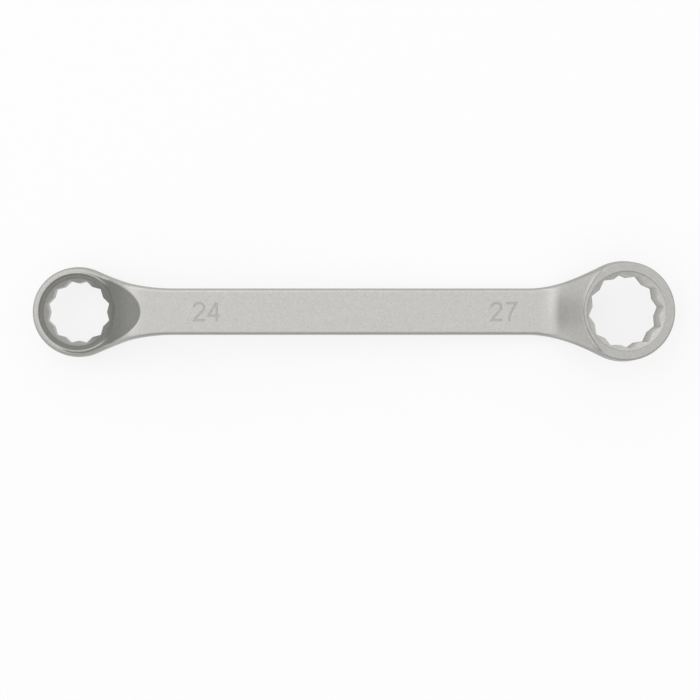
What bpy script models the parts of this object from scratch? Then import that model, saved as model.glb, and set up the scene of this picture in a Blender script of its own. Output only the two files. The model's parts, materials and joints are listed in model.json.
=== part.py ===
"""Double-ended offset ring spanner, 24 x 27 mm.

One drop forging in chrome-plated steel: a flat shank with drafted sides, cranked down to a
twelve-point ring at one end and up to a larger ring at the other. It lies as it would on a bench,
on the edge of the small ring and on the bend before the large one.
"""
import math
from dataclasses import dataclass

import bmesh
import bpy
import numpy as np

MM = 0.001

# Shank and necks
BORE_CENTRES = 231.5 * MM
SHANK_WIDTH = 19.8 * MM
SHANK_THICKNESS = 6.1 * MM
EDGE_RADIUS = 1.7 * MM
DRAFT_ANGLE = math.radians(5.0)
OUTER_RISE = math.radians(60.0)
INNER_RISE = math.radians(48.0)
INSIDE_BEND = 6.0 * MM
OUTSIDE_BEND = 20.0 * MM
ROOT_RADIUS = 5.0 * MM
HEEL_RADIUS = 3.0 * MM
HEEL_SETBACK = 1.1 * MM
ROOT_INSET = 2.2 * MM

# Rings
RING_TILT = math.radians(3.4)
INNER_RIM_RADIUS = 2.2 * MM
OUTER_RIM_RADIUS = 1.0 * MM
RING_PROUD = 0.35 * MM
BORE_CLEARANCE = 0.2 * MM
LEAD_IN = 0.6 * MM
LEAD_IN_ANGLE = math.radians(30.0)
MOUTH_RELIEF = 0.3 * MM
SPOT_MARGIN = 1.9 * MM
SPOT_DEPTH = 0.5 * MM

SMALL_ACROSS_FLATS = 24.0 * MM
SMALL_WALL = 5.65 * MM
SMALL_HEIGHT = 11.6 * MM
SMALL_OFFSET = 14.5 * MM
SMALL_BORE_TURN = math.radians(15.0)
SMALL_FLARE_ANGLE = math.radians(24.0)
SMALL_FLARE_RADIUS = 80.0 * MM

LARGE_ACROSS_FLATS = 27.0 * MM
LARGE_WALL = 5.15 * MM
LARGE_HEIGHT = 12.2 * MM
LARGE_OFFSET = 14.6 * MM
LARGE_BORE_TURN = math.radians(23.0)
LARGE_FLARE_ANGLE = math.radians(26.0)
LARGE_FLARE_RADIUS = 45.0 * MM

# Facets
NECK_STATIONS = 28
EDGE_STEPS = 4
FACE_STEPS = 6
RING_STEPS = 72
BORE_POINTS = 12
CUTTER_OVERRUN = 2.0 * MM
SEAM_WELD = 0.01 * MM
TURN_WELD = 0.001 * MM
SHARP_ANGLE = math.radians(30.0)

CHROME = {"colour": (0.56, 0.55, 0.53, 1.0), "roughness": 0.36, "metallic": 1.0}


@dataclass
class RingEnd:
    """One ring and its neck. The small end keeps the shank's axes, the large end is turned half round."""

    name: str
    sign: int
    across_flats: float
    wall: float
    height: float
    offset: float
    bore_turn: float
    flare_angle: float
    flare_radius: float

    @property
    def bore(self):
        return self.across_flats + BORE_CLEARANCE

    @property
    def point_radius(self):
        return self.bore / math.sqrt(3)

    @property
    def mouth_radius(self):
        return self.point_radius + LEAD_IN

    @property
    def spot_radius(self):
        return self.mouth_radius + SPOT_MARGIN

    @property
    def outer_radius(self):
        return self.point_radius + self.wall

    @property
    def centre(self):
        return (-self.sign * BORE_CENTRES / 2, 0.0, -self.sign * self.offset)

    @property
    def turn(self):
        """Turn about Y that brings the ring's own +Z to its inner face, the one towards the shank."""
        return RING_TILT if self.sign > 0 else RING_TILT + math.pi


SMALL_END = RingEnd(
    name="small",
    sign=1,
    across_flats=SMALL_ACROSS_FLATS,
    wall=SMALL_WALL,
    height=SMALL_HEIGHT,
    offset=SMALL_OFFSET,
    bore_turn=SMALL_BORE_TURN,
    flare_angle=SMALL_FLARE_ANGLE,
    flare_radius=SMALL_FLARE_RADIUS,
)
LARGE_END = RingEnd(
    name="large",
    sign=-1,
    across_flats=LARGE_ACROSS_FLATS,
    wall=LARGE_WALL,
    height=LARGE_HEIGHT,
    offset=LARGE_OFFSET,
    bore_turn=LARGE_BORE_TURN,
    flare_angle=LARGE_FLARE_ANGLE,
    flare_radius=LARGE_FLARE_RADIUS,
)


def rounded_profile(corners, radii):
    """Height along a line of straight runs whose inner corners are rounded by arcs.

    Returns a function of the distance along, and the distance at which the last arc ends.
    """
    corners = np.array(corners)
    runs = np.diff(corners, axis=0)
    slopes = np.arctan2(runs[:, 1], runs[:, 0])
    turns = np.diff(slopes)
    arcs = []
    for i, (corner, turn, radius) in enumerate(zip(corners[1:-1], turns, radii)):
        if radius > 0:
            side = math.copysign(1, turn)
            reach = radius * math.tan(abs(turn) / 2)
            start = corner - reach * np.array([math.cos(slopes[i]), math.sin(slopes[i])])
            centre = start + side * radius * np.array([-math.sin(slopes[i]), math.cos(slopes[i])])
            end = corner[0] + reach * math.cos(slopes[i + 1])
            arcs.append((start[0], end, centre, radius, side))

    def height(distance):
        level = np.interp(distance, corners[:, 0], corners[:, 1])
        for start, end, centre, radius, side in arcs:
            across = np.clip(distance - centre[0], -radius, radius)
            on_arc = centre[1] - side * np.sqrt(radius**2 - across**2)
            level = np.where((distance > start) & (distance < end), on_arc, level)
        return level

    return height, arcs[-1][1]


def neck_profiles(end):
    """Plan half-width, inner face and outer face of a neck, measured from its bore centre.

    Heights are from the shank's mid-plane, with the ring below it. The inner face looks to the
    shank's side of the ring and rises straight across from inside the bore. The outer face starts
    from the tilted end face of the ring and rises round it.
    """
    half_shank = SHANK_THICKNESS / 2
    middle = BORE_CENTRES / 2
    fall = math.tan(RING_TILT)
    face_gap = (end.height / 2 - RING_PROUD) / math.cos(RING_TILT)
    inner_start = -end.offset + face_gap
    outer_start = -end.offset - face_gap

    heel = end.outer_radius - HEEL_SETBACK
    heel_level = outer_start - heel * fall
    outer_bend = heel + (-half_shank - heel_level) / math.tan(OUTER_RISE)
    outer_line, outer_end = rounded_profile(
        [(0, outer_start), (heel, heel_level), (outer_bend, -half_shank), (middle, -half_shank)],
        [HEEL_RADIUS, INSIDE_BEND],
    )

    root = end.mouth_radius - ROOT_INSET
    root_level = inner_start - root * fall
    inner_bend = root + (half_shank - root_level) / math.tan(INNER_RISE)
    inner_line, inner_end = rounded_profile(
        [(0, inner_start), (root, root_level), (inner_bend, half_shank), (middle, half_shank)],
        [ROOT_RADIUS, OUTSIDE_BEND],
    )

    def inner(along, across):
        return inner_line(along + np.zeros_like(across))

    def outer(along, across):
        around = np.hypot(along, across)
        return outer_line(around) + fall * (np.minimum(around, heel) - np.minimum(along, heel))

    seat = end.outer_radius - RING_PROUD
    leave = seat * math.sin(end.flare_angle)
    leave_width = seat * math.cos(end.flare_angle)
    narrow = leave + (leave_width - SHANK_WIDTH / 2) / math.tan(end.flare_angle)
    plan, plan_end = rounded_profile(
        [(0, leave_width), (leave, leave_width), (narrow, SHANK_WIDTH / 2), (middle, SHANK_WIDTH / 2)],
        [0, end.flare_radius],
    )
    return plan, inner, outer, leave, max(outer_end, inner_end, plan_end)


def half_section(face, along, half_width, parting, side):
    """Points over one face of a section, from its +Y edge to its -Y edge, with drafted sides."""
    depth = abs(float(face(along, half_width)) - parting)
    radius = min(EDGE_RADIUS, depth / 2)
    corner = half_width - (depth - radius) * math.tan(DRAFT_ANGLE)
    angles = np.linspace(0, math.pi / 2, EDGE_STEPS + 1)
    edge = corner - radius * (1 - np.cos(angles))
    edge_drop = radius * (1 - np.sin(angles))
    flat = np.linspace(edge[-1], -edge[-1], FACE_STEPS + 1)[1:-1]
    across = np.concatenate([edge, flat, -edge[::-1]])
    drop = np.concatenate([edge_drop, np.zeros_like(flat), edge_drop[::-1]])
    return np.column_stack([across, face(along, across) - side * drop])


def bar_sections(end):
    """Closed sections of one half of the bar, from its bore centre to mid-shank."""
    plan, inner, outer, leave, last_bend = neck_profiles(end)
    neck = np.linspace(leave, last_bend, NECK_STATIONS)
    sections = []
    for along in [0.0, *neck, BORE_CENTRES / 2]:
        half_width = float(plan(along))
        parting = float(inner(along, 0.0) + outer(along, 0.0)) / 2
        loop = np.vstack([
            [(half_width, parting)],
            half_section(inner, along, half_width, parting, 1),
            [(-half_width, parting)],
            half_section(outer, along, half_width, parting, -1)[::-1],
        ])
        sections.append(np.column_stack([np.full(len(loop), along - BORE_CENTRES / 2), loop]))
    return np.array(sections) * (end.sign, 1, end.sign)


def loft(name, sections):
    """Closed mesh object through a stack of sections with equal point counts."""
    stations, around, _ = sections.shape
    index = np.arange(stations * around).reshape(stations, around)
    following = np.roll(index, -1, axis=1)
    sides = np.stack([index[:-1], index[1:], following[1:], following[:-1]], axis=-1).reshape(-1, 4)
    faces = sides.tolist() + [index[0].tolist(), index[-1].tolist()]
    mesh = bpy.data.meshes.new(name)
    mesh.from_pydata(sections.reshape(-1, 3).tolist(), [], faces)
    shape = bmesh.new()
    shape.from_mesh(mesh)
    bmesh.ops.recalc_face_normals(shape, faces=shape.faces)
    bmesh.ops.triangulate(shape, faces=shape.faces)
    shape.to_mesh(mesh)
    shape.free()
    return bpy.data.objects.new(name, mesh)


def turned(name, profile):
    """Solid of revolution from (radius, level) pairs, listed from its top centre to its bottom centre."""
    points = [(radius, 0, level) for radius, level in np.asarray(profile).tolist()]
    mesh = bpy.data.meshes.new(name)
    mesh.from_pydata(points, [(i, i + 1) for i in range(len(points) - 1)], [])
    solid = bpy.data.objects.new(name, mesh)
    screw = solid.modifiers.new("Turn", "SCREW")
    screw.steps = RING_STEPS
    screw.render_steps = RING_STEPS
    screw.use_merge_vertices = True
    screw.merge_threshold = TURN_WELD
    return solid


def rounded_rim(end, radius):
    """Half profile of a ring, from the centre of a face over its rim to where the drafted side starts."""
    half = end.height / 2
    rim_level = half - radius
    rim_centre = end.outer_radius - rim_level * math.tan(DRAFT_ANGLE) - radius
    turns = np.linspace(0, math.pi / 2, EDGE_STEPS + 1)
    rim = np.column_stack([rim_centre + radius * np.sin(turns), rim_level + radius * np.cos(turns)])
    return np.vstack([[(0, half)], rim])


def ring_blank(end):
    """Ring before broaching: flat faces, a full rim on the inner side and a crisp one on the outer."""
    inner = rounded_rim(end, INNER_RIM_RADIUS)
    outer = rounded_rim(end, OUTER_RIM_RADIUS)[::-1] * (1, -1)
    return turned(end.name + "_ring_blank", np.vstack([inner, [(end.outer_radius, 0)], outer]))


def broach(end):
    """Twelve-point cutter: two hexagons of the same size, one turned by half a side."""
    valley_radius = end.bore / 2 / math.cos(math.pi / BORE_POINTS)
    shape = bmesh.new()
    bmesh.ops.create_cone(
        shape,
        cap_ends=True,
        segments=2 * BORE_POINTS,
        radius1=end.point_radius,
        radius2=end.point_radius,
        depth=end.height + 2 * CUTTER_OVERRUN,
    )
    step = math.pi / BORE_POINTS
    shape.verts.ensure_lookup_table()
    first = math.atan2(shape.verts[0].co.y, shape.verts[0].co.x)
    for vertex in shape.verts:
        place = round((math.atan2(vertex.co.y, vertex.co.x) - first) / step)
        if place % 2:
            vertex.co.x *= valley_radius / end.point_radius
            vertex.co.y *= valley_radius / end.point_radius
    mesh = bpy.data.meshes.new(end.name + "_broach")
    shape.to_mesh(mesh)
    shape.free()
    cutter = bpy.data.objects.new(mesh.name, mesh)
    cutter.rotation_euler = (0, 0, end.bore_turn - first)
    return cutter


def inner_mouth(end):
    """Spot face round the bore, clear of the neck above it, with a countersink that breaks the points."""
    seat = end.height / 2 - SPOT_DEPTH
    clear = end.height + CUTTER_OVERRUN + ROOT_INSET
    tip = seat - end.mouth_radius * math.tan(LEAD_IN_ANGLE)
    return turned(
        end.name + "_inner_mouth",
        [(0, clear), (end.spot_radius, clear), (end.spot_radius, seat), (end.mouth_radius, seat), (0, tip)],
    )


def outer_mouth(end):
    """Countersink that breaks the bore's points at the outer face."""
    body = end.mouth_radius + MOUTH_RELIEF
    rim = -end.height / 2 - MOUTH_RELIEF * math.tan(LEAD_IN_ANGLE)
    clear = -end.height / 2 - CUTTER_OVERRUN
    tip = rim + body * math.tan(LEAD_IN_ANGLE)
    return turned(end.name + "_outer_mouth", [(0, tip), (body, rim), (body, clear), (0, clear)])


def boolean(target, tool, operation):
    modifier = target.modifiers.new(tool.name, "BOOLEAN")
    modifier.operation = operation
    modifier.object = tool
    modifier.solver = "EXACT"
    weld = target.modifiers.new(tool.name + "_seam", "WELD")
    weld.merge_threshold = SEAM_WELD


def add_head(end, forging, rest, tools):
    """Ring blank and bore cutters on an empty at the bore's centre, joined to and cut from the bar."""
    head = bpy.data.objects.new(end.name + "_head", None)
    head.location = end.centre
    head.rotation_euler = (0, end.turn, 0)
    head.parent = rest
    tools.objects.link(head)
    blank = ring_blank(end)
    cutters = [broach(end), inner_mouth(end), outer_mouth(end)]
    for tool in [blank, *cutters]:
        tool.parent = head
        tool.hide_render = True
        tool.display_type = "WIRE"
        tools.objects.link(tool)
    boolean(forging, blank, "UNION")
    return cutters


def evaluated_points(thing):
    """World-space corners of a finished object's triangles, as an array of triangles."""
    graph = bpy.context.evaluated_depsgraph_get()
    shape = bmesh.new()
    shape.from_mesh(thing.evaluated_get(graph).data)
    shape.transform(thing.matrix_world)
    bmesh.ops.triangulate(shape, faces=shape.faces)
    triangles = np.array([[vertex.co for vertex in face.verts] for face in shape.faces])
    shape.free()
    return triangles


def lie_down(rest, thing):
    """Turn the part onto the two places it rests on, with the floor at zero and its box centred."""
    bpy.context.view_layer.update()
    triangles = evaluated_points(thing)
    volumes = np.einsum("ij,ij->i", triangles[:, 0], np.cross(triangles[:, 1], triangles[:, 2]))
    balance = (triangles.sum(axis=1)[:, 0] * volumes).sum() / (4 * volumes.sum())
    hull = []
    for point in sorted(set(map(tuple, triangles.reshape(-1, 3)[:, [0, 2]].tolist()))):
        while len(hull) > 1 and turns_down(hull[-2], hull[-1], point):
            hull.pop()
        hull.append(point)
    left = max((point for point in hull if point[0] <= balance), key=lambda point: point[0])
    right = min((point for point in hull if point[0] > balance), key=lambda point: point[0])
    rest.rotation_euler = (0, math.atan2(right[1] - left[1], right[0] - left[0]), 0)
    bpy.context.view_layer.update()
    corners = evaluated_points(thing).reshape(-1, 3)
    low, high = corners.min(axis=0), corners.max(axis=0)
    rest.location = (-(low[0] + high[0]) / 2, -(low[1] + high[1]) / 2, -low[2])
    bpy.context.view_layer.update()


def turns_down(first, second, third):
    """Whether three points bend clockwise or run straight, so the middle one is off the lower hull."""
    run = (second[0] - first[0]) * (third[1] - first[1])
    rise = (second[1] - first[1]) * (third[0] - first[0])
    return run <= rise


def satin_chrome():
    material = bpy.data.materials.new("satin_chrome")
    material.use_nodes = True
    shader = material.node_tree.nodes["Principled BSDF"]
    shader.inputs["Base Color"].default_value = CHROME["colour"]
    shader.inputs["Roughness"].default_value = CHROME["roughness"]
    shader.inputs["Metallic"].default_value = CHROME["metallic"]
    material.diffuse_color = CHROME["colour"]
    return material


def main():
    for thing in list(bpy.data.objects):
        bpy.data.objects.remove(thing)
    parts = bpy.data.collections.new("ring_spanner")
    tools = bpy.data.collections.new("cutters")
    bpy.context.scene.collection.children.link(parts)
    bpy.context.scene.collection.children.link(tools)

    rest = bpy.data.objects.new("bench_rest", None)
    parts.objects.link(rest)

    from_small = bar_sections(SMALL_END)
    from_large = np.roll(bar_sections(LARGE_END)[::-1, ::-1], 1, axis=1)
    forging = loft("spanner_forging", np.concatenate([from_small, from_large[1:]]))
    forging.parent = rest
    forging.data.materials.append(satin_chrome())
    parts.objects.link(forging)

    cutters = []
    for end in (SMALL_END, LARGE_END):
        cutters += add_head(end, forging, rest, tools)
    for cutter in cutters:
        boolean(forging, cutter, "DIFFERENCE")
    forging.data.shade_smooth()
    forging.data.set_sharp_from_angle(angle=SHARP_ANGLE)
    lie_down(rest, forging)


main()
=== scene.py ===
import json
from math import atan2, cos, pi, radians, sin, tan

import bmesh
import bpy
import numpy as np
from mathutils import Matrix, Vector

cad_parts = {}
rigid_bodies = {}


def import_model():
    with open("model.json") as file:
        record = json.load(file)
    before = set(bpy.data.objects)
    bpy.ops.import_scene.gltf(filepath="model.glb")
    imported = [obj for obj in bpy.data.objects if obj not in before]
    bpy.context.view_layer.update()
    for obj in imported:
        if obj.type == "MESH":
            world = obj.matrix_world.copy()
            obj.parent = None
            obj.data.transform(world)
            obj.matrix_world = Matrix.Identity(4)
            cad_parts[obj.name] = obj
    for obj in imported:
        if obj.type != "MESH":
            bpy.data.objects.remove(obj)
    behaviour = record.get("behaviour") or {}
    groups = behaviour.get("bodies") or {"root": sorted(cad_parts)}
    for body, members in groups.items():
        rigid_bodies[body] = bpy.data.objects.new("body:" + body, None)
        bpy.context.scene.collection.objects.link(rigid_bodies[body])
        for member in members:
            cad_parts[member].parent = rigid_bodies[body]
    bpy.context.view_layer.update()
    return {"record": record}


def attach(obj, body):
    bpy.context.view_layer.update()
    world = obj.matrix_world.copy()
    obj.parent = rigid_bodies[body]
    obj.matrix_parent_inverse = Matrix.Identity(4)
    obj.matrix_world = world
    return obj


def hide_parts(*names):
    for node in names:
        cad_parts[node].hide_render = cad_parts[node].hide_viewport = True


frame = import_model()
scene = bpy.context.scene

# the forging, mm and degrees; an end is measured from its bore's centre towards the shank
forging = {
    "boreCentres": 231.5,
    "width": 19.8,
    "thickness": 6.1,
    "draft": 5.0,
    "edgeRadius": 1.7,
    "neckRadius": 2.0,
    "rimRadius": 2.2,
    "roundShare": 0.6,             # a round takes this share of a face's depth at most
    "innerRise": 48.0,
    "rootInset": 2.2,
    "rootRadius": 5.0,
    "outsideBend": 20.0,
    "outerRise": 60.0,
    "heelSetback": 3.4,
    "heelRadius": 2.0,
    "insideBend": 10.0,
    "neckOval": 0.78,              # the outer face rises round the ring in ovals, wider across than along
    "neckSink": 0.8,               # slope by which the neck sinks into the ring where the flare has ended
    "neckDepth": 0.4,              # least height of the neck over the parting line
    "ringTilt": 3.4,
    "leanFade": (26.0, 14.0),      # end of the ring's lean on the neck, and its fade
    "ringProud": 0.5,
    "ringTrim": 2.6,               # how much of the outer face the neck takes from the ring on its own side
    "outerRimRadius": 1.0,
    "neckSideRound": (0.5, 3.0),   # share taken from that radius beside the neck, and how soon
    "crease": 0.1,                 # how far ring and neck flow into each other on the outer face
    "creaseInset": 0.6,            # the crease closes over this distance from the outline
    "boreClearance": 0.2,
    "leadIn": 0.6,
    "leadInAngle": 22.0,
    "mouthBreak": 0.25,
    "mouthLand": 0.02,
    "spotMargin": 1.9,             # spot face round the bore on the inner side, beyond the mouth
    "spotSink": 0.5,
    "spotWall": 0.9,               # breadth of the step round it
    "recess": 0.1,                 # the blasted inner face lies this far below its polished rim
    # where it is polished, blasted or left as forged, and where shade and highlights are painted on
    "rimBand": (2.45, 1.3),        # polished inside the outline, round the ring and along the neck, clear of the painted shade
    "lowerBand": 1.0,              # how much narrower the band is on its -Y side, where the painted shade reaches further
    "lowerStart": (-10.0, 8.0),    # where that begins, and over what length
    "lowerSide": (1.5, 0.2),       # steepness and start of that side, by y over the distance
    "bandEdge": 0.5,
    "tongue": (16.0, 13.7),        # start and length of the blasted tongue on the neck, which carries painted shade
    "tongueInset": 1.7,
    "tongueShape": (2.5, 10.0),    # fullness of its end, sharpness of its edge
    "boreBlastAndShade": (1, 0.6, 0.6, 0.5, 0.3, 0.1, 0, 0, 0, 0, 0),  # painted shade and blasting in the bore, from the inner mouth to the outer one
    "neckShadow": (2.0, 0.4),      # steepness and start of the painted shadow and blasting in the bore below the neck
    "stepLine": (0.4, 0.3),        # polished line with a painted highlight on the step: distance beyond the spot face, breadth
    "stepEnd": (14.0, 5.0),        # end of that line beside the neck, and its fade
    # strength of the step's polish and painted highlight
    "stepPolishAndHighlight": 0.7,
    # polish and painted highlight on the lead-in cones
    "leadInPolishAndHighlight": 0.25,
    "creaseReach": 0.3,            # blasted line of painted shade in the crease: difference in level that it covers
    "creaseFade": 0.25,            # share of the neck's side over which that line fades in
    # strength of the wear and painted highlight on the rounds
    "roundWear": 0.2,
    "roundBand": (0.5, 2.0, 1.2),  # wear and painted highlight on the rounds beside the outline: rise, end, fade
    "wallShadeBand": (1.5, 1.1),        # end of the painted shade on the walls, in from the outline, and its fade
    "headFade": (7.0, 9.0),        # end of the heads' duller finish and painted shade, beyond the ring, and its fade
    # how it is meshed
    "sharpAngle": 32.0,
    "acrossCells": 64,
    "rayCells": 40,
    "outlineCells": 248,
    "neckRows": 50,
    "neckLength": 18.0,            # stretch beyond the seam that has these closer rows
    "shankRows": 36,
    "turnWeight": 1.2,             # path length that a radian of turning counts for
    "fineAcross": 2400,
    "fineRay": 1600,
    "fineOutline": (600, 2400),    # flare, ring
}
smallEnd = {
    "sign": 1, "acrossFlats": 24.0, "wall": 5.65, "height": 11.6, "offset": 14.5,
    "turn": 15.0, "flare": 24.0, "flareRadius": 80.0, "seam": 22.4,
}
largeEnd = {
    "sign": -1, "acrossFlats": 27.0, "wall": 5.15, "height": 12.2, "offset": 14.6,
    "turn": 23.0, "flare": 26.0, "flareRadius": 45.0, "seam": 23.6,
}

middle = forging["boreCentres"] / 2
pastEnds = 60                    # how far the side lines run on beyond both ends
halfWidthShank = forging["width"] / 2
halfShank = forging["thickness"] / 2
fall = tan(radians(forging["ringTilt"]))
lean = tan(radians(forging["draft"]))

for end in (smallEnd, largeEnd):
    # points of the bore = across flats / root 3, then the lead-in, then the wall outside them
    end["flat"] = (end["acrossFlats"] + forging["boreClearance"]) / 2
    end["point"] = end["flat"] / cos(pi / 6)
    end["mouth"] = end["point"] + forging["leadIn"]
    end["outer"] = end["point"] + end["wall"]
    # the ring's circle runs on its tangent to the arc that ends on the shank's side
    flare = end["flareAngle"] = radians(end["flare"])
    arcTop = halfWidthShank + end["flareRadius"] * (1 - cos(flare))
    end["leave"] = end["outer"] * sin(flare)
    end["arcStart"] = end["leave"] + (end["outer"] * cos(flare) - arcTop) / tan(flare)
    end["arcEnd"] = end["arcStart"] + end["flareRadius"] * sin(flare)


def smooth(x):
    # 3x^2 - 2x^3 between 0 and 1
    x = np.clip(x, 0, 1)
    return x * x * (3 - 2 * x)


def fadeOut(x, stop, length):
    # 1, falling smoothly over the length to 0 at the stop
    return smooth((stop - x) / length)


def bendLine(distance, corners, radii):
    # level along straight runs, with each inner corner replaced by the arc that touches both runs
    xs, zs = np.array(corners, float).T
    slopes = np.arctan2(np.diff(zs), np.diff(xs))
    level = np.interp(distance, xs, zs)
    for i, radius in enumerate(radii):
        turn = slopes[i + 1] - slopes[i]
        side = np.sign(turn)
        reach = radius * abs(tan(turn / 2))
        start = xs[i + 1] - reach * cos(slopes[i])
        stop = xs[i + 1] + reach * cos(slopes[i + 1])
        centreX = start - side * radius * sin(slopes[i])
        centreZ = zs[i + 1] - reach * sin(slopes[i]) + side * radius * cos(slopes[i])
        arc = centreZ - side * np.sqrt(np.maximum(radius**2 - (distance - centreX) ** 2, 0))
        level = np.where((distance > start) & (distance < stop), arc, level)
    return level


def ringPlane(end, u, side):
    # flat ring face, falling towards the shank by the ring's tilt
    return -end["offset"] + side * end["height"] / 2 / cos(radians(forging["ringTilt"])) - u * fall


def sideLine(u, start, foot, rise, shankLevel, radii):
    # ring face from its level at the bore's centre to the foot, the neck's rise, then the shank's face
    footLevel = start - foot * fall
    bend = foot + (shankLevel - footLevel) / tan(radians(rise))
    corners = [(-pastEnds, start + pastEnds * fall), (foot, footLevel), (bend, shankLevel),
               (middle + pastEnds, shankLevel)]
    return bendLine(u, corners, radii)


def innerLine(end, u):
    # the neck rises from inside the bore's mouth
    root = end["mouth"] - forging["rootInset"]
    radii = [forging["rootRadius"], forging["outsideBend"]]
    return sideLine(u, ringPlane(end, 0.0, 1), root, forging["innerRise"], halfShank, radii)


def outerLine(end, u):
    # a little short of the ring's end face, then the rise from its heel
    heel = end["outer"] - forging["heelSetback"]
    radii = [forging["heelRadius"], forging["insideBend"]]
    start = ringPlane(end, 0.0, -1) + forging["ringProud"]
    return sideLine(u, start, heel, forging["outerRise"], -halfShank, radii)


def partingLevel(end, u):
    # halfway between the two faces
    return (innerLine(end, u) + outerLine(end, u)) / 2


def planHalfWidth(end, u):
    # circle, tangent, arc and straight side in turn
    flare = end["flareAngle"]
    arcCentre = halfWidthShank + end["flareRadius"]
    circle = np.sqrt(np.maximum(end["outer"] ** 2 - u**2, 0))
    tangent = end["outer"] * cos(flare) - (u - end["leave"]) * tan(flare)
    arc = arcCentre - np.sqrt(np.maximum(end["flareRadius"] ** 2 - (end["arcEnd"] - u) ** 2, 0))
    straight = np.full_like(u, halfWidthShank)
    stretches = [u < end["leave"], u < end["arcStart"], u < end["arcEnd"]]
    return np.select(stretches, [circle, tangent, arc], straight)


def edgeDistance(end, u, y):
    # distance in from the nearest of straight side, arc, tangent and circle
    a = np.abs(y)
    flare = end["flareAngle"]
    arcCentre = halfWidthShank + end["flareRadius"]
    swing = np.arctan2(end["arcEnd"] - u, arcCentre - a)
    onArc = np.hypot(end["arcEnd"] - u, arcCentre - a) - end["flareRadius"]
    onTangent = end["outer"] - u * sin(flare) - a * cos(flare)
    onCircle = end["outer"] - np.hypot(u, a)
    stretches = [swing < 0, swing < flare, np.arctan2(u, a) > flare]
    return np.select(stretches, [halfWidthShank - a, onArc, onTangent], onCircle)


def edgeDrop(inset, depth, radius):
    # from the parting line up a drafted wall, then a quarter round that ends level with the face
    radius = np.minimum(radius, forging["roundShare"] * depth)
    wall = (depth - radius) * lean
    x = np.clip((inset - wall) / radius, 0, 1)
    quarter = radius * (1 - np.sqrt(np.maximum(1 - (1 - x) ** 2, 0)))
    return np.where(inset < wall, depth - inset / lean, quarter)


def edgeRadius(end, u):
    # straight lines between the radii at the ring, the neck and the shank
    stops = [end["leave"], end["outer"], end["arcEnd"]]
    return np.interp(u, stops, [forging["rimRadius"], forging["neckRadius"], forging["edgeRadius"]])


# marks: blasting with painted shade, wear with painted highlight, painted shade on walls and on heads
markNames = ("blastedAndShaded", "wearAndHighlight", "wall", "head")  # vertex attributes that the finish reads


def stepHighlight(end, u, y):
    # bell-shaped painted highlight, polished too, along the upper edge of the spot face's step, ending
    # where the neck begins
    beyond, breadth = forging["stepLine"]
    step = (np.hypot(u, y) - end["mouth"] - forging["spotMargin"] - beyond) / breadth
    return forging["stepPolishAndHighlight"] * np.exp(-(step**2)) * fadeOut(u, *forging["stepEnd"])


def tongueStart(end):
    # further out by as much as the ring is larger than the small one
    return forging["tongue"][0] + end["outer"] - smallEnd["outer"]


def rimBand(end, u, y):
    # width of the polished band inside the outline, clear of the painted shade, narrower along the neck and
    # on the -Y half of the ring
    wide, narrow = forging["rimBand"]
    start, length = forging["lowerStart"]
    steepness, offset = forging["lowerSide"]
    band = np.interp(u, [0, tongueStart(end)], [wide, narrow])
    lower = smooth(-steepness * y / np.hypot(u, y) - offset) * smooth((u - start) / length)
    return np.maximum(band - forging["lowerBand"] * lower, narrow)


def blastAndShadeMask(end, u, y):
    # 1 where the inner face is blasted and carries painted shade: inside the rim band and inside a rounded
    # tongue on the neck, less on the step's painted highlight
    start = tongueStart(end)
    fullness, sharpness = forging["tongueShape"]
    half = planHalfWidth(end, np.maximum(u, start)) - forging["tongueInset"]
    tongue = (np.maximum(u - start, 0) / forging["tongue"][1]) ** fullness + (y / half) ** 2 * (u > start)
    inBand = smooth((edgeDistance(end, u, y) - rimBand(end, u, y)) / forging["bandEdge"])
    return inBand * smooth(sharpness * (1 - tongue)) * (1 - stepHighlight(end, u, y))


def edgeWearAndHighlight(end, u, y, face):
    # wear and painted highlight: a little on the rounds beside the outline, none on the walls, and the
    # step's painted highlight on the inner face
    rise, stop, length = forging["roundBand"]
    inset = edgeDistance(end, u, y)
    rounds = forging["roundWear"] * smooth(inset / rise) * fadeOut(inset, stop, length)
    return rounds if face is outerFace else np.maximum(rounds, stepHighlight(end, u, y))


def wallShadeShare(end, u, y):
    # painted shade: 1 on the drafted walls at the outline, fading to 0 on the faces
    return fadeOut(edgeDistance(end, u, y), *forging["wallShadeBand"])


def innerFace(end, u, y):
    # straight across, rounded off at the outline, a little sunk where blasted, cut flat round the bore
    face = innerLine(end, u)
    drop = edgeDrop(edgeDistance(end, u, y), face - partingLevel(end, u), edgeRadius(end, u))
    level = face - drop - forging["recess"] * blastAndShadeMask(end, u, y)
    spot = ringPlane(end, u, 1) - forging["spotSink"]
    wall = smooth((np.hypot(u, y) - end["mouth"] - forging["spotMargin"]) / forging["spotWall"] + 0.5)
    return spot + (level - spot) * wall


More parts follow.
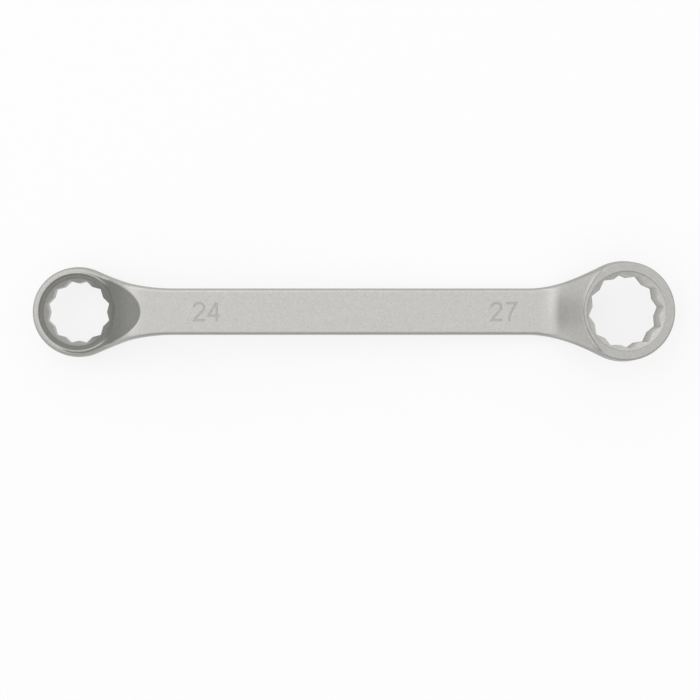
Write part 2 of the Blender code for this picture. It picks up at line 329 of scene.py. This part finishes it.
def outerForms(end, u, y):
    # levels of the ring with its rounded rim and of the neck that rises round it, how far they blend, and
    # how squarely a place on the ring faces the neck, from 0 at the flare to 1
    around = np.hypot(u, y)
    inset = edgeDistance(end, u, y)
    parting = partingLevel(end, u)
    plane = ringPlane(end, u, -1)
    tangent = sin(end["flareAngle"])
    facing = np.clip((u / np.maximum(around, 0.001) - tangent) / (1 - tangent), 0, 1)
    rim = end["outer"] - forging["ringTrim"] * facing * (2 - facing)
    taken, soon = forging["neckSideRound"]
    rounding = forging["outerRimRadius"] * (1 - taken * smooth(soon * facing))
    ring = plane + edgeDrop(rim - around, parting - plane, rounding)
    heel = end["outer"] - forging["heelSetback"]
    oval = np.hypot(u, forging["neckOval"] * y)
    neck = outerLine(end, oval) + fall * (np.minimum(oval, heel) - np.minimum(u, heel))
    neck = neck + forging["neckSink"] * np.maximum(end["leave"] - u, 0)
    neck = neck + edgeDrop(inset, np.maximum(parting - neck, forging["neckDepth"]), edgeRadius(end, u))
    blend = np.maximum(forging["crease"] * np.clip(inset / forging["creaseInset"], 0, 1), 0.000001)
    return ring, neck, blend, facing


def outerFace(end, u, y):
    # lower of ring and neck, blended at the crease
    ring, neck, blend, _ = outerForms(end, u, y)
    share = np.clip(0.5 + 0.5 * (neck - ring) / blend, 0, 1)
    return neck * (1 - share) + ring * share - blend * share * (1 - share)


def creaseShadeLine(end, u, y):
    # bell-shaped line of painted shade where neck and ring meet on the outer face, blasted too where no
    # belt reaches
    ring, neck, _, facing = outerForms(end, u, y)
    return np.exp(-(((neck - ring) / forging["creaseReach"]) ** 2)) * smooth(facing / forging["creaseFade"])


def evenSteps(run, level, values, count):
    # values at equal shares of path length plus turning, row by row
    step = np.hypot(np.diff(run, axis=1), np.diff(level, axis=1))
    angle = np.arctan2(np.diff(level, axis=1), np.diff(run, axis=1))
    step[:, 1:] += forging["turnWeight"] * np.abs(np.diff(angle, axis=1))
    grown = np.concatenate([np.zeros((len(step), 1)), np.cumsum(step, axis=1)], axis=1)
    shift = 2.0 * np.arange(len(step))[:, None]  # keeps the rows apart, so that one interp serves them all
    shares = grown / grown[:, -1:] + shift
    wanted = np.linspace(0, 1, count + 1)[None, :] + shift
    values = np.broadcast_to(values, shares.shape)
    return np.interp(wanted.ravel(), shares.ravel(), values.ravel()).reshape(wanted.shape)


def acrossRows(end, face, u):
    # one row across the bar for each station, from -Y to +Y, closest together over walls and rounds
    fine = np.linspace(0, 1, forging["fineAcross"])[None, :]
    half = planHalfWidth(end, u)[:, None]
    y = fine * half
    share = evenSteps(y, face(end, u[:, None] + 0 * y, y), fine, forging["acrossCells"] // 2)
    y = share * half
    return np.concatenate([-y[:, :0:-1], y], axis=1)


def outlineLoop(end):
    # points at even spacing from the seam's +Y corner round the ring to its -Y corner, corners left out
    flareSteps, ringSteps = forging["fineOutline"]
    flareU = np.linspace(end["seam"], end["leave"], flareSteps)
    angle = np.linspace(pi / 2 - end["flareAngle"], pi, ringSteps)
    u = np.concatenate([flareU, end["outer"] * np.cos(angle)])
    y = np.concatenate([planHalfWidth(end, flareU), end["outer"] * np.sin(angle)])
    grown = np.concatenate([[0], np.cumsum(np.hypot(np.diff(u), np.diff(y)))])
    wanted = np.linspace(0, grown[-1], forging["outlineCells"] // 2 + 1)[1:]
    u, y = np.interp(wanted, grown, u), np.interp(wanted, grown, y)
    return np.concatenate([u, u[-2::-1]]), np.concatenate([y, -y[-2::-1]])


def boreRadius(end, angle):
    # larger of two hexagons turned half a side apart
    turn = radians(end["turn"])
    one = end["flat"] / np.cos((angle - turn) % (pi / 3) - pi / 6)
    two = end["flat"] / np.cos((angle - turn + pi / 6) % (pi / 3) - pi / 6)
    return np.maximum(one, two)


def gridQuads(shape, closed):
    # four corners of each cell of a grid of points; a closed grid joins its last row to its first
    index = np.arange(shape[0] * shape[1]).reshape(shape)
    following = np.roll(index, -1, axis=0)
    if not closed:
        index, following = index[:-1], following[:-1]
    corners = [index[:, :-1], following[:, :-1], following[:, 1:], index[:, 1:]]
    return np.stack(corners, axis=-1).reshape(-1, 4)


def faceGrid(end, face, u, y, level):
    # grid of (u, y, level, blastedAndShaded, wearAndHighlight, wall), wall being painted shade on the walls
    mask = blastAndShadeMask(end, u, y) if face is innerFace else creaseShadeLine(end, u, y)
    return np.stack([u, y, level, mask, edgeWearAndHighlight(end, u, y, face), wallShadeShare(end, u, y)], axis=-1)


def borePatch(end, angle):
    # from the inner mouth to the outer: broken edge, lead-in cone, twelve-point wall, and the same below
    cut = forging["mouthBreak"]
    rim = end["mouth"] + cut
    rimU, rimY = rim * np.cos(angle), rim * np.sin(angle)
    wallRadius = boreRadius(end, angle)
    coneDepth = (end["mouth"] - wallRadius) * tan(radians(forging["leadInAngle"]))
    top = innerFace(end, rimU, rimY)
    bottom = outerFace(end, rimU, rimY)
    topCone = top - cut - forging["mouthLand"]
    bottomCone = bottom + cut + forging["mouthLand"]
    topWall = topCone - coneDepth
    bottomWall = bottomCone + coneDepth
    wallSteps = (0, 0.25, 0.5, 0.75, 1)
    mouth = np.full_like(angle, end["mouth"])
    wallRadii = [wallRadius] * len(wallSteps)
    radius = np.stack([mouth + cut, mouth, mouth] + wallRadii + [mouth, mouth, mouth + cut], axis=1)
    walls = [topWall + (bottomWall - topWall) * step for step in wallSteps]
    level = np.stack([top, top - cut, topCone] + walls + [bottomCone, bottom + cut, bottom], axis=1)

    innerRows, leadInRows = slice(0, 4), slice(7, 9)
    steepness, offset = forging["neckShadow"]
    # painted shade with blasting in the bore, fullest below the neck, and polish with a painted highlight
    # on the lead-in cones
    mask = np.tile(np.array(forging["boreBlastAndShade"], float), (len(angle), 1))
    mask[:, innerRows] += (1 - mask[:, innerRows]) * smooth(steepness * np.cos(angle) - offset)[:, None]
    polishAndHighlight = np.zeros_like(level)
    polishAndHighlight[:, leadInRows] = forging["leadInPolishAndHighlight"]
    u, y = radius * np.cos(angle)[:, None], radius * np.sin(angle)[:, None]
    return np.stack([u, y, level, mask, polishAndHighlight, 0 * level], axis=-1)


def endPatches(end):
    # grids, and whether each closes on itself: two faces round the bore, two faces of the bar, and the bore
    loopU, loopY = outlineLoop(end)
    seamRows = [acrossRows(end, face, np.array([end["seam"]]))[0] for face in (innerFace, outerFace)]
    tips = [
        (np.concatenate([0 * row + end["seam"], loopU]), np.concatenate([row, loopY]))
        for row in seamRows
    ]
    onSeam = np.arange(len(tips[0][0])) < len(seamRows[0])
    onSeam[[0, len(seamRows[0]) - 1]] = False

    # mouth angles follow the tips, shifted a little so that a ray starts at every corner of the bore
    angle = np.unwrap(np.arctan2(tips[0][1] + tips[1][1], tips[0][0] + tips[1][0]))
    corners = radians(end["turn"]) + np.arange(-24, 48) * pi / 12  # twelve points, twelve between them
    corners = corners[(corners > angle[0]) & (corners < angle[0] + 2 * pi)]
    nearest = np.abs(angle[None, :] - corners[:, None]).argmin(axis=1)
    angle = angle + np.interp(angle, angle[nearest], corners - angle[nearest], period=2 * pi)
    rim = end["mouth"] + forging["mouthBreak"]
    mouthU, mouthY = rim * np.cos(angle)[:, None], rim * np.sin(angle)[:, None]

    patches = []
    fine = np.linspace(0, 1, forging["fineRay"])[None, :]
    for face, (tipU, tipY) in zip((innerFace, outerFace), tips):
        reachU, reachY = tipU[:, None] - mouthU, tipY[:, None] - mouthY
        u, y = mouthU + fine * reachU, mouthY + fine * reachY
        run = np.hypot(u - mouthU, y - mouthY)
        share = evenSteps(run, face(end, u, y), fine, forging["rayCells"])
        u, y = mouthU + share * reachU, mouthY + share * reachY
        level = face(end, u, y)
        level[~onSeam, -1] = partingLevel(end, u[~onSeam, -1])
        patches.append((faceGrid(end, face, u, y, level), True))

    neckStop = end["seam"] + forging["neckLength"]
    rows = np.concatenate([
        np.linspace(end["seam"], neckStop, forging["neckRows"], endpoint=False),
        np.linspace(neckStop, middle, forging["shankRows"]),
    ])
    for face in (innerFace, outerFace):
        y = acrossRows(end, face, rows)
        u = rows[:, None] + 0 * y
        level = face(end, u, y)
        level[:, 0] = level[:, -1] = partingLevel(end, rows)
        patches.append((faceGrid(end, face, u, y, level), False))

    patches.append((borePatch(end, angle), True))
    return patches


def toShank(end, points):
    # lean the ring's walls with its axis, then put the end on the shank, the large one turned half round
    u, y, w = points[:, 0], points[:, 1], points[:, 2]
    u = u + fall * (w + end["offset"] + u * fall) * fadeOut(u, *forging["leanFade"])
    return np.stack([end["sign"] * (u - middle), y, end["sign"] * w], axis=1)


# the shank's own axes in the frame, from the mount on its upper face
shankTop = next(mount for mount in frame["record"]["mounts"] if mount["name"] == "shank_top")
shankAxis = np.array(shankTop["axis"])
shankCentre = np.array(shankTop["pos_m"]) - shankAxis * halfShank / 1000
shankTilt = atan2(shankAxis[0], shankAxis[2])
shankTurn = np.array([[cos(shankTilt), 0, sin(shankTilt)], [0, 1, 0], [-sin(shankTilt), 0, cos(shankTilt)]])


def toFrame(points):
    # millimetres in the shank's axes to metres in the frame
    return np.asarray(points) / 1000 @ shankTurn.T + shankCentre


def meshPiece(name, points, faces):
    # points and faces as one object at the origin
    mesh = bpy.data.meshes.new(name)
    mesh.from_pydata(points.tolist(), [], faces.tolist())
    piece = bpy.data.objects.new(name, mesh)
    scene.collection.objects.link(piece)
    return piece


def turnOutwards(mesh, weld=0):
    # merge points within the weld distance, turn all faces outwards and count the open edges
    shape = bmesh.new()
    shape.from_mesh(mesh)
    if weld:
        bmesh.ops.remove_doubles(shape, verts=shape.verts, dist=weld)
    bmesh.ops.recalc_face_normals(shape, faces=shape.faces)
    openEdges = sum(not edge.is_manifold for edge in shape.edges)
    shape.to_mesh(mesh)
    shape.free()
    return openEdges


points, faces, shares, count = [], [], [], 0
for end in (smallEnd, largeEnd):
    # the heads' mark carries a duller finish and painted shade, fading out beyond the ring
    headStop = end["outer"] + forging["headFade"][0]
    for grid, closed in endPatches(end):
        flat = grid.reshape(-1, grid.shape[-1])
        points.append(toShank(end, flat))
        shares.append(np.column_stack([flat[:, 3:], fadeOut(flat[:, 0], headStop, forging["headFade"][1])]))
        faces.append(gridQuads(grid.shape[:2], closed) + count)
        count += len(flat)
spanner = meshPiece("spanner_body", toFrame(np.concatenate(points)), np.concatenate(faces))
for name, values in zip(markNames, np.concatenate(shares).astype(np.float32).T):
    attribute = spanner.data.attributes.new(name, "FLOAT", "POINT")
    attribute.data.foreach_set("value", np.ascontiguousarray(values))
openEdges = turnOutwards(spanner.data, weld=0.000002)
print("spanner body:", len(spanner.data.polygons), "faces,", openEdges, "open edges")

# plain size numbers, cut into the shank, mm; each stroke is a path in a cell 1 wide and cellHeight high
sizeNumbers = {
    "height": 8.0,
    "cellHeight": 1.6,
    "pitch": 1.22,          # of the digits, in cells
    "shift": 0.1,
    "stroke": 1.05,
    "depth": 0.14,
    "secondDepth": 0.02,    # how much deeper a digit's second stroke goes
    "mouthFlare": 0.1,
    "footTaper": 0.12,
    "cutterTop": 0.4,
    "mitreLimit": 0.35,
    "places": {"24": -58.25, "27": 67.6},
}
digitStrokes = {
    "2": [[(0.06, 1.18), (0.1, 1.32), (0.2, 1.44), (0.34, 1.5), (0.5, 1.52), (0.66, 1.5),
           (0.8, 1.42), (0.88, 1.3), (0.9, 1.16), (0.86, 1.02), (0.76, 0.86), (0.6, 0.68),
           (0.4, 0.48), (0.22, 0.28), (0.1, 0.08), (0.96, 0.08)]],
    "4": [[(0.72, 1.58), (0.08, 0.46), (1.04, 0.46)], [(0.76, 1.56), (0.76, 0.0)]],
    "7": [[(0.04, 1.52), (0.94, 1.52), (0.72, 1.14), (0.52, 0.76), (0.4, 0.4), (0.34, 0.0)]],
}


def strokeCutter(name, path, depth):
    # a four-sided profile, narrower at its foot, carried along the path with mitred corners
    path = np.array(path)
    along = np.diff(path, axis=0)
    along /= np.hypot(along[:, 0], along[:, 1])[:, None]
    normal = np.stack([-along[:, 1], along[:, 0]], axis=1)
    mitre = np.concatenate([normal[:1], normal[:-1] + normal[1:], normal[-1:]])
    facing = np.concatenate([normal[:1], normal[:-1], normal[-1:]])
    mitre /= np.maximum((mitre * facing).sum(axis=1), sizeNumbers["mitreLimit"])[:, None]
    mouth = sizeNumbers["stroke"] / 2 + sizeNumbers["mouthFlare"]
    narrow = sizeNumbers["stroke"] / 2 - sizeNumbers["footTaper"]
    top, foot = halfShank + sizeNumbers["cutterTop"], halfShank - depth
    sides = [(mouth, top), (-mouth, top), (-narrow, foot), (narrow, foot)]
    edges = [np.column_stack([path + mitre * side, np.full(len(path), level)]) for side, level in sides]
    index = np.arange(len(path) * 4).reshape(-1, 4)
    nextSide = np.roll(index, -1, axis=1)
    quads = np.stack([index[:-1], index[1:], nextSide[1:], nextSide[:-1]], axis=-1).reshape(-1, 4)
    quads = np.concatenate([quads, index[:1], index[-1:]])
    cutter = meshPiece(name, toFrame(np.stack(edges, axis=1).reshape(-1, 3)), quads)
    turnOutwards(cutter.data)
    return cutter


# satin chrome: a blasted and plated skin, polished on outside faces, rough where a belt can't reach, with
# painted shade and highlights
finish = {
    "chrome": (0.575, 0.567, 0.546, 1.0),
    "chromeShade": (0.54, 0.533, 0.514, 1.0),
    # painted shade on heads and walls, a painted highlight where worn and rubbed, and the painted shade
    # colour of the blasted parts
    "headShade": 0.91,
    "wallShade": 0.72,
    "highlightLift": 1.3,
    "recess": (0.335, 0.335, 0.317, 1.0),
    "stamp": (0.455, 0.45, 0.43, 1.0),
    "roughness": (0.34, 0.44),
    "headRoughness": 0.46,
    "wornRoughness": 0.29,
    "recessRoughness": 0.75,
    "mottle": {"Scale": 420.0, "Detail": 4.0, "Roughness": 0.6},
    "mottleRange": (0.3, 0.7),
    "grain": {"Scale": 1500.0, "Detail": 3.0, "Roughness": 0.7},
    "grainRange": (0.25, 0.75),
    "grainTone": 0.13,
    "grainBump": 0.5,
    "grainDepth": 0.00003,
}


def addNode(tree, kind, **values):
    # a value goes to the node's property of that name, or else to its input
    node = tree.nodes.new(kind)
    for name, value in values.items():
        if hasattr(node, name):
            setattr(node, name, value)
        else:
            node.inputs[name.replace("_", " ")].default_value = value
    return node


def mathNode(tree, operation, *values):
    # each value is a socket to link or a fixed number
    node = addNode(tree, "ShaderNodeMath", operation=operation)
    for socket, value in zip(node.inputs, values):
        if isinstance(value, (int, float)):
            socket.default_value = value
        else:
            tree.links.new(value, socket)
    return node.outputs[0]


def spreadNode(tree, value, low, high, start=0.0, stop=1.0):
    # low at the start and high at the stop of the value's range, a straight line between
    node = addNode(tree, "ShaderNodeMapRange", From_Min=start, From_Max=stop, To_Min=low, To_Max=high)
    tree.links.new(value, node.inputs["Value"])
    return node.outputs["Result"]


def satinChrome(name, colour, shade, paintedShadeColour):
    # colour drifts between two tones over some millimetres, with painted shade on blasted parts, heads and
    # walls and a painted highlight where rubbed, a fine grain in tone and bump; roughness drifts and
    # follows the same marks
    material = bpy.data.materials.new(name)
    material.use_nodes = True
    tree = material.node_tree
    link = tree.links.new
    shader = tree.nodes["Principled BSDF"]
    shader.inputs["Metallic"].default_value = 1.0
    place = addNode(tree, "ShaderNodeTexCoord")
    mottle = addNode(tree, "ShaderNodeTexNoise", **finish["mottle"])
    grain = addNode(tree, "ShaderNodeTexNoise", **finish["grain"])
    for noise in (mottle, grain):
        link(place.outputs["Object"], noise.inputs["Vector"])
    blastedAndShaded, wearAndHighlight, wall, head = [
        addNode(tree, "ShaderNodeAttribute", attribute_name=mark).outputs["Fac"] for mark in markNames
    ]

    tone = addNode(tree, "ShaderNodeMix", data_type="RGBA")
    link(spreadNode(tree, mottle.outputs["Fac"], 0.0, 1.0, *finish["mottleRange"]), tone.inputs["Factor"])
    tone.inputs[6].default_value = shade
    tone.inputs[7].default_value = colour
    # painted shade on the blasted parts
    dark = addNode(tree, "ShaderNodeMix", data_type="RGBA")
    link(blastedAndShaded, dark.inputs["Factor"])
    link(tone.outputs[2], dark.inputs[6])
    dark.inputs[7].default_value = paintedShadeColour
    speck = finish["grainTone"]
    lightness = spreadNode(tree, grain.outputs["Fac"], 1 - speck, 1 + speck, *finish["grainRange"])
    # painted shade on heads and walls, painted highlight where worn and rubbed
    for mark, amount in ((head, "headShade"), (wearAndHighlight, "highlightLift"), (wall, "wallShade")):
        lightness = mathNode(tree, "MULTIPLY", lightness, spreadNode(tree, mark, 1.0, finish[amount]))
    final = addNode(tree, "ShaderNodeVectorMath", operation="SCALE")
    link(dark.outputs[2], final.inputs[0])
    link(lightness, final.inputs["Scale"])
    link(final.outputs["Vector"], shader.inputs["Base Color"])

    rough = spreadNode(tree, mottle.outputs["Fac"], *finish["roughness"], *finish["mottleRange"])
    for mark, amount in ((head, "headRoughness"), (wearAndHighlight, "wornRoughness"), (blastedAndShaded, "recessRoughness")):
        mixed = addNode(tree, "ShaderNodeMix", data_type="FLOAT")
        link(mark, mixed.inputs["Factor"])
        link(rough, mixed.inputs[2])
        mixed.inputs[3].default_value = finish[amount]
        rough = mixed.outputs[0]
    link(rough, shader.inputs["Roughness"])
    bump = addNode(tree, "ShaderNodeBump", Strength=finish["grainBump"], Distance=finish["grainDepth"])
    link(grain.outputs["Fac"], bump.inputs["Height"])
    link(bump.outputs["Normal"], shader.inputs["Normal"])
    return material


bodyFinish = satinChrome("satinChrome", finish["chrome"], finish["chromeShade"], finish["recess"])
stampFinish = satinChrome("stampedFloor", finish["stamp"], finish["stamp"], finish["stamp"])
spanner.data.materials.append(bodyFinish)

unit = sizeNumbers["height"] / sizeNumbers["cellHeight"]
for number, centre in sizeNumbers["places"].items():
    for place, digit in enumerate(number):
        left = centre + (place - 1) * sizeNumbers["pitch"] * unit + sizeNumbers["shift"] * unit
        for i, stroke in enumerate(digitStrokes[digit]):
            path = np.array(stroke) * unit + (left, -sizeNumbers["height"] / 2)
            depth = sizeNumbers["depth"] + sizeNumbers["secondDepth"] * i
            cutter = strokeCutter(f"stroke_{number}_{place}_{i}", path, depth)
            cutter.data.materials.append(stampFinish)
            cut = spanner.modifiers.new(cutter.name, "BOOLEAN")
            cut.operation = "DIFFERENCE"
            cut.object = cutter
            cut.solver = "EXACT"
            cut.material_mode = "TRANSFER"
stamped = bpy.data.meshes.new_from_object(spanner.evaluated_get(bpy.context.evaluated_depsgraph_get()))
for cut in list(spanner.modifiers):
    cutter = cut.object
    spanner.modifiers.remove(cut)
    bpy.data.objects.remove(cutter)
spanner.data = stamped
stamped.name = "spanner_body"
# the floors of the numbers carry no marks
floorVertices = [vertex for face in stamped.polygons if face.material_index for vertex in face.vertices]
for name in markNames:
    values = np.zeros(len(stamped.vertices), np.float32)
    stamped.attributes[name].data.foreach_get("value", values)
    values[floorVertices] = 0
    stamped.attributes[name].data.foreach_set("value", values)
stamped.polygons.foreach_set("use_smooth", np.ones(len(stamped.polygons), bool))
stamped.set_sharp_from_angle(angle=radians(forging["sharpAngle"]))
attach(spanner, "root")
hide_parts("spanner_forging")
print("size numbers cut:", len(stamped.polygons), "faces,", [slot.name for slot in stamped.materials])

# white bench and tent, m
studio = {
    "floorSize": 40.0,
    "floorPoints": 7,
    "floor": (0.95, 0.95, 0.95, 1.0),
    "floorRoughness": 0.9,
    "floorSpecular": 0.1,
    "floorGlow": 0.75,
    "sky": 0.62,
    "skyTilt": (-0.2, 0.42, 0.7),  # brighter upwards, a little to the back and the small end
    "skyLimit": 1.04,
    "horizonFade": 4.0,            # white where the bench ends, fading upwards
    "keyPower": 2.8,
    "keySize": (2.6, 1.0),
    "keyPlace": (-0.8, 0.9, 1.2),
}
steps = np.linspace(-studio["floorSize"] / 2, studio["floorSize"] / 2, studio["floorPoints"])
across, away = np.meshgrid(steps, steps, indexing="ij")
floorPoints = np.stack([across, away, np.zeros_like(across)], axis=-1).reshape(-1, 3)
floor = meshPiece("bench", floorPoints, gridQuads(across.shape, False))
white = bpy.data.materials.new("whiteBench")
white.use_nodes = True
tree = white.node_tree
paper = tree.nodes["Principled BSDF"]
paper.inputs["Base Color"].default_value = studio["floor"]
paper.inputs["Roughness"].default_value = studio["floorRoughness"]
paper.inputs["Specular IOR Level"].default_value = studio["floorSpecular"]
glow = addNode(tree, "ShaderNodeEmission")
rays = addNode(tree, "ShaderNodeLightPath").outputs
seen = mathNode(tree, "MAXIMUM", rays["Is Camera Ray"], rays["Is Glossy Ray"])
seen = mathNode(tree, "MAXIMUM", seen, rays["Is Transmission Ray"])
mixed = addNode(tree, "ShaderNodeMixShader")
tree.links.new(mathNode(tree, "MULTIPLY", seen, studio["floorGlow"]), mixed.inputs["Fac"])
tree.links.new(paper.outputs["BSDF"], mixed.inputs[1])
tree.links.new(glow.outputs["Emission"], mixed.inputs[2])
tree.links.new(mixed.outputs["Shader"], tree.nodes["Material Output"].inputs["Surface"])
floor.data.materials.append(white)
print("bench laid:", studio["floorSize"], "m square")

world = bpy.data.worlds.new("whiteTent")
world.use_nodes = True
scene.world = world
tree = world.node_tree
sky = tree.nodes["Background"]
sky.inputs["Color"].default_value = (1, 1, 1, 1)
place = addNode(tree, "ShaderNodeTexCoord")


def skySlope(direction):
    # brightness that grows along a direction
    slope = addNode(tree, "ShaderNodeVectorMath", operation="DOT_PRODUCT")
    tree.links.new(place.outputs["Generated"], slope.inputs[0])
    slope.inputs[1].default_value = direction
    return slope.outputs["Value"]


# sky level plus its tilt, up to the limit, or the white at the horizon where that is brighter
level = mathNode(tree, "ADD", skySlope(studio["skyTilt"]), studio["sky"])
level = mathNode(tree, "MINIMUM", level, studio["skyLimit"])
horizon = mathNode(tree, "ADD", skySlope((0, 0, -studio["horizonFade"])), 1.0)
tree.links.new(mathNode(tree, "MAXIMUM", level, horizon), sky.inputs["Strength"])

keyLamp = bpy.data.lights.new("keyPanel", "AREA")
keyLamp.shape = "RECTANGLE"
keyLamp.size, keyLamp.size_y = studio["keySize"]
keyLamp.energy = studio["keyPower"]
key = bpy.data.objects.new("keyPanel", keyLamp)
key.location = studio["keyPlace"]
key.rotation_euler = Vector(studio["keyPlace"]).to_track_quat("Z", "Y").to_euler()
scene.collection.objects.link(key)

# straight down on the shank's face; the place is in the shank's axes, mm
cameraView = {"lens": 69.74, "sensor": 36.0, "place": (2.45, -6.5, 577.5), "aim": -16.3}
lens = bpy.data.cameras.new("planCamera")
lens.lens = cameraView["lens"]
lens.sensor_width = cameraView["sensor"]
camera = bpy.data.objects.new("planCamera", lens)
camera.location = toFrame(cameraView["place"])
aimDrop = cameraView["aim"] - cameraView["place"][1]
camera.rotation_euler = (atan2(aimDrop, cameraView["place"][2]), shankTilt, 0)
scene.collection.objects.link(camera)
scene.camera = camera
scene.view_settings.view_transform = "Standard"
print("light and camera set")
